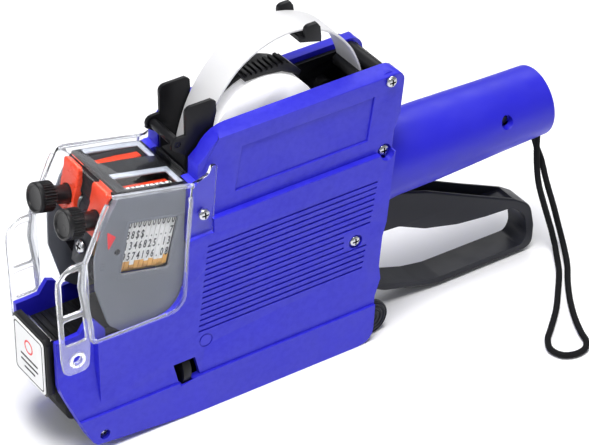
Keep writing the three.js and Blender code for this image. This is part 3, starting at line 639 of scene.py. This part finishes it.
def soft_covers():
    """The blue covers, with the round outer edges that a moulding has."""
    for side, _ in SIDES:
        node = NODES[f"side_cover_{side}"]
        mesh = node.data.copy()
        mesh.transform(node.matrix_world)
        moved(mesh, lambda x, y, z: (x / MM + X_MID, y / MM, z / MM))
        bm = bmesh.new()
        bm.from_mesh(mesh)
        bmesh.ops.remove_doubles(bm, verts=bm.verts, dist=0.01)
        bmesh.ops.dissolve_limit(bm, angle_limit=FLAT, verts=bm.verts, edges=bm.edges)
        soft = [e for e in bm.edges if is_outer_rim(e)]
        bmesh.ops.bevel(bm, geom=soft, offset=1.3, offset_type="OFFSET", segments=4, profile=0.5,
                        affect="EDGES", clamp_overlap=True)
        bm.to_mesh(mesh)
        bm.free()
        o = piece(f"side_cover_{side}_moulding", mesh, "blue", "frame", [node.name])
        rounded(o, 0.4, 30)


def is_outer_rim(edge):
    """Whether an edge runs between a cover's outer face and its top, front or rear wall."""
    if len(edge.link_faces) != 2 or not edge.is_convex or edge.calc_length() < 2:
        return False
    a, b = (v.co for v in edge.verts)
    one, two = (f.normal for f in edge.link_faces)
    if abs(one.y) < abs(two.y):
        one, two = two, one
    wall = abs(two.y) < 0.3 and (two.z > 0.2 or abs(two.x) > 0.5)
    return abs(one.y) > 0.98 and wall and min(abs(a.y), abs(b.y)) > RIM_OUT and min(a.z, b.z) > RIM_UP


def clear_cover():
    """The clear cover: a thin shell with screw flanges, its rims, and an ear with two windows each side."""
    side = fillet(COVER_SIDE, 3, 8)
    # the shell's outside and inside, both running on past the open front, bottom and rear
    outside = [(23.4, 114), (2, 76), (2, 40), (80, 40), (80, 101.2)]
    inside = [(22.9, 112.3), (0, 70), (0, 30), (90, 30), (90, 97.2)]
    shell = boolean(plate([fillet(outside, 4, 6)], -20.5, 20.5, edge=2.4, steps=5),
                    plate([side], -21, 21, edge=0.25), "INTERSECT")
    shell = boolean(shell, plate([fillet(inside, 3, 6)], -18.9, 18.9, edge=1.0, steps=4))
    parts, rims = [shell], []
    rim = fillet([point[:2] for point in COVER_SIDE[:9]], 8, 8)[6:-6]
    ear = fillet([
        (12.5, 88.4), (5.7, 88.4, 3), (-0.4, 84.4, 4), (-0.9, 79, 6), (-0.5, 62), (-0.2, 47, 5),
        (0.9, 39.6, 6), (11.6, 39.6, 6), (12.3, 47, 4), (12.8, 58),
    ], 1.5, 7)
    windows = [
        fillet([(1.5, 82), (4.2, 85.6, 3), (9.6, 85.6, 2), (8.4, 78), (9.7, 67.4), (1.5, 67.4)], 1.2, 6),
        fillet([(1.6, 64.6), (9.9, 64.6), (10.6, 53.6), (1.9, 53.6)], 1.2, 6),
    ]
    boss = [(1.95, 0), (3.3, 0), (3.5, 0.2), (3.5, 0.7), (3.2, 1.0), (2.3, 1.0), (1.95, 0.7), (1.95, 0)]
    flange = fillet([
        (54.6, 80.4, 0.5), (66, 80.4, 0.8), (68, 104.6, 2), (68.4, 109.8, 1.2), (66.2, 110.4, 1.2),
        (64.6, 107, 1.6), (61, 105.6), (57.4, 104.6),
    ], 0.8, 6)
    for _, s in SIDES:
        # the beads along the outline and inside the roof's edges carry a painted highlight along the cover's
        # edges, over its real thick rims
        rims.append(bead([(a, s * 19.75, b) for a, b in rim], 1.05, 0.75))
        rims.append(bead([(24.4, s * 18.9, 111.9), (58, s * 18.9, 104.4)], 0.8, 0.8))
        y0, y1 = sorted((s * 17.6, s * 19.2))
        rims.append(plate([ear, *windows, circle(*EAR_HOLE, 1.9)], y0, y1, edge=0.7, steps=5))
        rims.append(sided(lathe(boss, (0, 0, 0), "y", 40), s, EAR_HOLE[0], 19.1, EAR_HOLE[1]))
        y0, y1 = sorted((s * 17.85, s * 19.6))
        parts.append(plate([flange, circle(*COVER_SCREW, 1.6)], y0, y1, edge=0.3))
    piece("clear_cover_shell", joined(*parts), "clear", "frame", ["clear_cover"])
    piece("clear_cover_rims", joined(*rims), "rim", "frame")


def bead(points, wide, high):
    """A rounded bead along a line of points at one y: its half width, and its half height along y."""
    line = [Vector(p) for p in points]
    rings = []
    for p, ahead in zip(line, directions(line)):
        side = Vector((0, 1, 0)).cross(ahead)
        ring = []
        for k in range(12):
            t = 2 * math.pi * k / 12
            ring.append(p + side * wide * math.cos(t) + Vector((0, high * math.sin(t), 0)))
        rings.append(ring)
    return cleaned(tube(rings, "bead"))


soft_covers()
clear_cover()


# ---------------------------------------------------------------- handle, lever and latch
HANDLE_AXIS, HANDLE_END = 69.6, 230.0  # height of its axis and x of its end
HOLE_R = 1.9


def handle_tube():
    """The hollow handle, cut for the covers, the lever, the strap's pin and the cord's two ends."""
    end = HANDLE_END - 0.02
    outer = [(0, 140), (17, 140), (17, 148), (16.8, 151), (16.3, 156), (16.2, 176), (15.7, 192), (15.2, 205)]
    outer += [(14.6, end - 1.3), *arc(14.6 - 1.2, end - 1.2, 1.2, 10, 90, 6), (0, end)]
    body = lathe(outer, (0, 0, HANDLE_AXIS), "x", 128)
    bore = [(0, 156), (13.2, 156), (12, HANDLE_END - 2.6), (0, HANDLE_END - 2.6)]
    body = boolean(body, lathe(bore, (0, 0, HANDLE_AXIS), "x", 64))
    front = [(120, 40), (143.6, 40), (145.1, 54.8), (149.7, 94.5), (149.7, 100), (120, 100)]
    body = boolean(body, plate([front], -22, 22, edge=0.01))
    channel = fillet([(130, 40), (130, 66.2), (140, 65.4), (186, 60), (196, 50), (196, 40)], 1, 3)
    body = boolean(body, plate([channel], -6.8, 6.8, edge=0.4))
    pin = STRAP_PIN[0], 0, STRAP_PIN[1]
    holes = [lathe([(0, -20), (HOLE_R, -20), (HOLE_R, 20), (0, 20)], pin, "y", 40)]
    for x, y, _ in (ROUTE[0], ROUTE[-1]):
        holes.append(lathe([(0, 50), (HOLE_R, 50), (HOLE_R, 64), (0, 64)], (x, y, 0), "z", 32))
    for _, s in SIDES:
        cup = [(0, 11.6), (2.7, 11.6), (2.7, 14.2), (3.1, 15.4), (3.1, 20), (0, 20)]
        holes.append(cleaned(sided(lathe(cup, (0, 0, 0), "y", 40), s, pin[0], 0, pin[2])))
    for hole in holes:
        body = boolean(body, hole)
    tongue = plate([[(138.8, 66), (141, 77.2), (154, 77.2), (154, 66)]], -8.2, 8.2, edge=0.3)
    piece("handle_tube", joined(body, tongue), "blue", "frame", ["handle"])


LEVER_OUTER = [
    (152, 38), (152, 57.2, 2), (159.2, 54.5, 10), (174.2, 49.2, 20), (199.2, 37.2, 30), (218.8, 28.1, 14),
    (226.6, 22.8, 9), (228.7, 12, 12), (228.2, 1.2, 7.5), (180.8, 1.3, 20),
    (171.3, 3.8, 12), (153.8, 8.8, 12), (148, 12.3, 4), (148, 38),
]
LEVER_OPENING = [
    (151, 38.6, 1), (160.3, 38, 6), (173.3, 31.9, 12), (189.4, 27.7, 20), (203, 26, 16), (216.8, 25.1, 6.5),
    (223.6, 19, 9), (224.9, 8.6, 9), (222.6, 4.5, 4.5), (181, 4.9, 14), (170.5, 6.8, 12), (151.6, 13.2, 3),
    (140, 20), (140, 38.6),
]
LEVER_CHANNEL = [
    (154.6, 62), (154.6, 41.2, 1.5), (160.8, 40.4, 6), (173.9, 34.3, 12), (189.7, 30.1, 20), (203, 28.6, 12),
    (216.6, 27.4, 2), (219.2, 29.6, 2), (219.2, 62),
]


def squeeze_lever():
    """The lever's open loop with its channel, its front arm and the pin that moves the head."""
    arms = plate([fillet(LEVER_OUTER, 2, 7)], -6.2, 6.2, edge=0.9, steps=4)
    arms = boolean(arms, plate([fillet(LEVER_OPENING, 2, 7)], -8, 8, edge=0.05))
    arms = boolean(arms, plate([fillet(LEVER_CHANNEL, 2, 7)], -4.6, 4.6, edge=0.6))
    px, pz = LEVER_PIVOT
    root = fillet([
        (px - 2, pz - 8), (132, 26), (136, 17), (147, 12), (153, 9.9), (153, 12.6), (146, 23), (145.4, 36),
        (153, 38.6), (153, 56.4), (150, 57.4), (138, 52), (px + 4, pz + 8), (104, 57), (84, 64), (80.4, 61.6),
        (81, 57.4), (100, 48), (px - 8, pz + 1),
    ], 3, 4)
    web = plate([root, circle(px, pz, 3.1, 32)], -3.8, 3.8, edge=0.4)
    pin = lathe([(0, -7.4), (1.7, -7.4), (2, -7.1), (2, 7.1), (1.7, 7.4), (0, 7.4)], (83, 0, 60), "y", 32)
    piece("squeeze_lever_arms", joined(arms, web, pin), "lever", "squeeze_lever", ["lever"])


def latch():
    """The bottom cover's latch: a sole between two discs with rings on their faces."""
    x, z = LATCH_AXIS
    rings = [(0, 2.4), (1.2, 2.4), (1.5, 2.1), (2.2, 2.1), (2.5, 2.4)]
    for r in (3.4, 5.0, 6.5):
        rings += [(r, 2.4), (r + 0.25, 1.95), (r + 0.75, 1.95), (r + 1.0, 2.4)]
    rings = rings[:-1] + [(7.35, 2.3), (7.6, 2.0), (7.6, 0.2), (7.4, 0), (0, 0)]
    parts = [cleaned(sided(lathe(rings, (0, 0, 0), "y", 96), s, x, 15, z)) for _, s in SIDES]
    sole = [(x - 4.8, 2.2), (x - 3.4, 1.35), (x, 0.55), (x + 3.4, 1.35), (x + 4.8, 2.2)]
    parts.append(plate([sole], -15.1, 15.1, edge=0.1))
    piece("bottom_latch_discs", joined(*parts), "lever", "sole_latch", ["bottom_latch"])


handle_tube()
squeeze_lever()
latch()


# ---------------------------------------------------------------- screws
def screw_mesh(radius):
    """A domed cross-recess screw, its axis along +x from 0, the head outwards."""
    r = radius
    stem = [(0, -1), (0.5, -1), (0.5, 0)]
    dome = [(1, 0), (1, 0.45), (0.94, 0.8), (0.72, 1.15), (0.4, 1.35), (0, 1.42)]
    head = lathe([(r * wide, h) for wide, h in stem + dome], (0, 0, 0), "x", 48)
    a, b = 0.62 * r, 0.15 * r  # half of the cross's length and of an arm's width
    arms = [
        (-b, -a), (b, -a), (b, -b), (a, -b), (a, b), (b, b),
        (b, a), (-b, a), (-b, b), (-a, b), (-a, -b), (-b, -b),
    ]
    mesh = boolean(head, plate([fillet(arms, 0.1, 2)], 0.35, 3, "yz", edge=0.02))
    for f in mesh.polygons:
        across = math.hypot(f.center.y, f.center.z)
        # faces inside the cross take the second material, the painted shade of the recess
        f.material_index = int(0.2 < f.center.x < 1.3 - 0.45 * (across / r) ** 2 and across < 0.66 * r)
    return mesh


def on_side(shape, s, x, seat, z, depth=1.0):
    """A screw's head on a side face, its own axis turned along y."""
    return cleaned(moved(shape.copy(), lambda a, b, c: (x + b, s * (seat + depth * a), z + c * s)))


def screws():
    """Four screws on each side, one on the head's front and the bottom hinge pin's two ends."""
    shape, pin_end = screw_mesh(2.3), screw_mesh(2.0)
    spots = (
        ("top", 146.8, 117.2, 17.8), ("rear", 144.4, 86.6, 16.4), ("mid", 130, 51, 18.9),
        ("cover", *COVER_SCREW, 19.9),
    )
    for spot, x, z, seat in spots:
        for side, s in SIDES:
            piece(f"screw_{spot}_{side}_head", on_side(shape, s, x, seat, z), "steel recess", "frame",
                  [f"screw_{spot}_{side}"])
    front = moved(screw_mesh(2.7), lambda a, b, c: (21.2 - a, b, 59 + c))
    piece("head_screw_head", cleaned(front), "steel recess", "print_head", ["head_screw"],
          head=True)
    for side, s in SIDES:
        mesh = on_side(pin_end, s, HINGE_PIN[0], 18.4, HINGE_PIN[1], 0.9)
        piece(f"bottom_hinge_pin_{side}_end", mesh, "knob recess", "frame")


screws()


# ---------------------------------------------------------------- print head
LINE_Y, KNOB_Z = 10.2, 76.4  # axis of a print line's knob and wheels
TYPE_X, PITCH, COLUMNS = 28.4, 2.08, 10  # x of the first column, and the columns' pitch and number
BELT_WIDE, ROW_PITCH, NARROW = 1.8, 4.7, 0.56  # a belt's width, its characters' pitch and squeeze
BAND_DISCS = ((LINE_Y, KNOB_Z, 4.8), (12.2, 57.6, 2.0), (6.4, 53.4, 2.0))  # (y, z, radius)
ROWS = ("0000000000", "88$$.....7", "1346825.13", "9574196.08")


def knob(side, s):
    """A knurled knob with a dished cap and a smooth neck."""
    y = s * LINE_Y
    cap = [(0, 4.9), (3, 4.75), (4.5, 4.5), (4.8, 4.0), (5.2, 3.8), (5.7, 3.95), (5.85, 4.4), (5.85, 5.5)]
    grip = [(5.6, 5.8), (5.55, 6.1), (5.55, 10.2), (5.5, 10.5), (5.1, 10.9)]
    neck = [(3.7, 10.95), (3.6, 11.3), (3.6, 20.2), (3.4, 20.4), (1.75, 20.4), (1.75, 17), (0, 17)]
    profile = cap + grip + neck
    ridged = range(len(cap), len(cap) + len(grip) - 1)
    ridges = 32

    def swell(row, t):
        return 0.32 * max(-0.4, math.cos(ridges * t)) if row in ridged else 0.0

    mesh = lathe(profile, (0, y, KNOB_Z), "x", 8 * ridges, swell)
    piece(f"knob_{side}_knurled", mesh, "knob", f"knob_{side}_turning", [f"knob_{side}"],
          head=True, smooth=40)


def carrier(side, s):
    """The orange block behind a knob, with rounded corners and a scale bar into the window."""
    y0, y1 = sorted((s * 4.8, s * 15.4))
    block = fillet([(y0, 69.2, 0.8), (y0, 90, 1.8), (y1, 90, 1.8), (y1, 69.2, 0.8)], 1, 8)
    face = plate([block, circle(s * LINE_Y, KNOB_Z, 3.9)], 17.8, 20.6, "yz", edge=0.6, steps=4)
    b0 = -9.3 if s < 0 else 10.3
    b1 = b0 + 3.2
    scale = fillet([(20.2, b0), (48.6, b0), (48.6, b1), (20.2, b1)], 0.4, 3)
    bar = plate([scale], 85.3, 86.7, "xy", edge=0.25)
    piece(f"carrier_{side}_block", joined(face, bar), "orange", "print_head",
          [f"carrier_{side}"], head=True)


def head_side(side, s):
    """A grey side plate with its window, the window's sill, a moulded ring and a red arrow."""
    outline = fillet([
        (20.9, 88.7, 1), (18.2, 80.4), (16.1, 72.4), (15.5, 64.1, 8), (18.2, 50.9), (27.1, 34.3, 6),
        (33, 31.1), (39, 30.1), (50.9, 31.3, 6), (57, 40, 5), (57.3, 56, 10), (53.1, 70.2), (50.2, 89.2, 1),
    ], 4, 5)
    window = fillet([(28, 56), (49, 56), (49, 77.8), (28, 77.8)], 0.9, 4)
    body = plate([outline, window, circle(*INK_PIVOT, 1.3, 24)], *sorted((s * 16.3, s * 17.35)), edge=0.18)
    sill = fillet([(27, 53.4), (50.7, 53.4), (50.7, 78.8), (27, 78.8)], 1.4, 4)
    y0, y1 = sorted((s * 17.2, s * 17.5))
    sill = plate([sill, window], y0, y1, edge=0.1)
    ring = plate([circle(19.4, 60.4, 1.5, 32), circle(19.4, 60.4, 1.0, 32)], y0, y1, edge=0.1)
    piece(f"head_side_{side}_plate", joined(body, sill, ring), "panel", "print_head",
          [f"head_side_{side}"], head=True)
    arrow = fillet([(18.7, 75.4), (22.9, 72.9), (20.6, 67.3)], 0.4, 3)
    piece(f"head_side_{side}_arrow", plate([arrow], *sorted((s * 17.3, s * 17.6)), edge=0.08), "red",
          "print_head", head=True)


def bezel(side, s):
    """A grey border along a top window's right and rear sides; the left line's digit strip too."""
    x0, x1, y0, y1 = 24.6, 49.9, *sorted((s * 4.2, s * 15.4))
    xi, yi = x1 - 2.4, y1 - 2.9
    border = fillet([(x0, y1), (x1, y1), (x1, y0), (xi, y0), (xi, yi), (x0, yi)], 0.4, 3)
    piece(f"window_{side}_bezel", plate([border], 89.7, 90.55, "xy", edge=0.35), "bezel", "print_head",
          head=True)
    if s > 0:
        return
    a, b = -14.7, -11.6
    card = plate([fillet([(25.8, a), (46.9, a), (46.9, b), (25.8, b)], 0.3, 3)], 88.4, 88.9, "xy", edge=0.08)
    piece("digit_strip_card", card, "ivory", "print_head", head=True)
    marks = []
    for i in range(COLUMNS):
        x = TYPE_X - 1.2 + PITCH * i
        shape = glyph(str((i * 7 + 1) % 10))
        marks.append(moved(shape, lambda u, v, w: (x + 0.55 * u, (a + b) / 2 + 0.75 * v, 88.92 + w)))
    piece("digit_strip_digits", joined(*marks), "ink", "print_head", head=True)


def band_line(s):
    """The belt's inner line round its three discs: (point, outward normal) in (y, z)."""
    line = []
    for k in range(121):
        t = 2 * math.pi * k / 120
        n = Vector((math.cos(t), math.sin(t)))
        spots = [Vector((s * y, z)) + n * r for y, z, r in BAND_DISCS]
        best = max(spots, key=lambda p: p.dot(n))
        if line:
            gap = best - line[-1][0]
            parts = int(gap.length // 0.9)
            line += [(line[-1][0] + gap * j / (parts + 1), n) for j in range(1, parts + 1)]
        line.append((best, n))
    return line[:-1]


def glyph(character):
    """A bold raised character's mesh, centred on its own middle."""
    text = bpy.data.curves.new("glyph", "FONT")
    text.body = character
    text.size = 4.8
    text.extrude = 0.09
    text.offset = 0.07
    text.resolution_u = 2
    text.align_x, text.align_y = "CENTER", "CENTER"
    temp = bpy.data.objects.new("glyph", text)
    mesh = bpy.data.meshes.new_from_object(temp)
    bpy.data.objects.remove(temp)
    return mesh


def bands(side, s):
    """A print line's ten belts, amber where the ink has stained them, and their raised characters."""
    line = band_line(s)
    n = len(line)
    verts, faces, stained = [], [], []
    for i in range(COLUMNS):
        x0 = TYPE_X + 0.12 + PITCH * i
        rows = (x0, x0 + BELT_WIDE)
        cut = 60.2 + 0.9 * math.sin(2.3 * i) + 0.5 * math.sin(5.1 * i)  # height the stain reaches
        base = len(verts)
        for p, normal in line:
            bumpy = 0.9 + (0.16 if p.y > 58 else 0.1 + 0.12 * math.sin(4 * p.y + 2 * i))
            for x in rows:
                for grow in (0.02, bumpy):
                    q = p + normal * grow
                    verts.append((x, q.x, q.y))
        for k in range(n):
            a, b = base + 4 * k, base + 4 * ((k + 1) % n)
            for c, d in ((0, 1), (1, 3), (3, 2), (2, 0)):
                faces.append((a + c, b + c, b + d, a + d))
                stained.append(line[k][0].y < cut)
    mesh = bpy.data.meshes.new("bands")
    mesh.from_pydata(verts, [], faces)
    o = piece(f"print_bands_{side}_loops", mesh, "ivory amber", "print_head",
              [f"print_bands_{side}"], head=True, smooth=30)
    for f, amber in zip(o.data.polygons, stained):
        f.material_index = int(amber)
    cleaned(o.data, merge=False)
    (ty, tz, tr), (ly, lz, lr) = BAND_DISCS[:2]
    top, low = Vector((s * ty, tz)), Vector((s * ly, lz))
    along = (low - top).normalized()
    away = Vector((-along.y, along.x))
    away = away if away.x * s > 0 else -away
    tilt = (tr - lr) / (low - top).length
    flat = math.sqrt(1 - tilt * tilt)
    out = away * flat + along * tilt
    run = along * flat - away * tilt
    shapes, glyphs = {}, []
    for j, row in enumerate(ROWS):
        spot = top + run * (0.1 + ROW_PITCH * j) + out * (tr + 1.12)
        for i, character in enumerate(row):
            if character not in shapes:
                shapes[character] = glyph(character)
            x = TYPE_X + 1.02 + PITCH * i

            def on_belt(a, b, c):
                q = spot - run * b + out * (c - 0.06)
                return x - NARROW * a * s, q.x, q.y

            glyphs.append(moved(shapes[character].copy(), on_belt))
    piece(f"print_bands_{side}_characters", joined(*glyphs), "ink", "print_head", head=True)


for side_name, sign in SIDES:
    knob(side_name, sign)
    carrier(side_name, sign)
    head_side(side_name, sign)
    bezel(side_name, sign)
    bands(side_name, sign)


# ---------------------------------------------------------------- nose label
def nose_label():
    """A plain white label with a thin round-cornered frame, a red ring and three bars."""
    def frame_loop(inset, r):
        a, b, c = 11.4 - inset, 27.8 + inset, 52.2 - inset
        return fillet([(-a, b), (a, b), (a, c), (-a, c)], r, 6)

    def printed(*loops):
        return plate(loops, -3.59, -3.5, "yz", edge=0.01)

    card = plate([frame_loop(0, 2.2)], -3.55, -3.2, "yz", edge=0.08)
    piece("nose_label_card", card, "paper", "frame", ["nose_label"])
    ring = printed(circle(0, 43.6, 3.1, 40), circle(0, 43.6, 2.3, 40))
    piece("nose_label_ring", ring, "red", "frame")
    marks = [printed(frame_loop(1.0, 1.8), frame_loop(1.45, 1.6))]
    for z, half in ((37.4, 6.4), (34.8, 6.4), (32.2, 4)):
        marks.append(printed(fillet([(-half, z), (half, z), (half, z + 0.9), (-half, z + 0.9)], 0.4, 3)))
    piece("nose_label_marks", joined(*marks), "ink", "frame")


nose_label()


# ---------------------------------------------------------------- floor and light
def studio():
    """A white floor, a pale sky and three area lights."""
    mesh = bpy.data.meshes.new("floor")
    s = 3.0
    mesh.from_pydata([(-s, -s, 0), (s, -s, 0), (s, s, 0), (-s, s, 0)], [], [(0, 1, 2, 3)])
    floor = bpy.data.objects.new("floor", mesh)
    bpy.context.scene.collection.objects.link(floor)
    m, _, b = material("floor_white")
    b.inputs["Base Color"].default_value = (0.95, 0.95, 0.96, 1)
    b.inputs["Roughness"].default_value = 0.6
    floor.data.materials.append(m)
    world = bpy.data.worlds.new("world")
    world.use_nodes = True
    world.node_tree.nodes["Background"].inputs["Color"].default_value = (0.95, 0.97, 1.0, 1)
    world.node_tree.nodes["Background"].inputs["Strength"].default_value = 0.32
    bpy.context.scene.world = world
    for name, place, size, power, tint in (
        ("key", (-0.22, -0.30, 1.5), 0.7, 27, (1.0, 0.99, 0.98)),
        ("fill", (-1.3, 0.2, 0.8), 1.0, 4, (0.95, 0.97, 1.0)),
        ("rim", (0.8, 0.9, 1.2), 0.9, 6, (1.0, 1.0, 1.0)),
    ):
        light = bpy.data.lights.new(name, "AREA")
        light.size = size
        light.energy = power
        light.color = tint
        o = bpy.data.objects.new(name, light)
        o.location = place
        o.rotation_euler = (Vector((0, 0, 0.06)) - Vector(place)).to_track_quat("-Z", "Y").to_euler()
        bpy.context.scene.collection.objects.link(o)


studio()
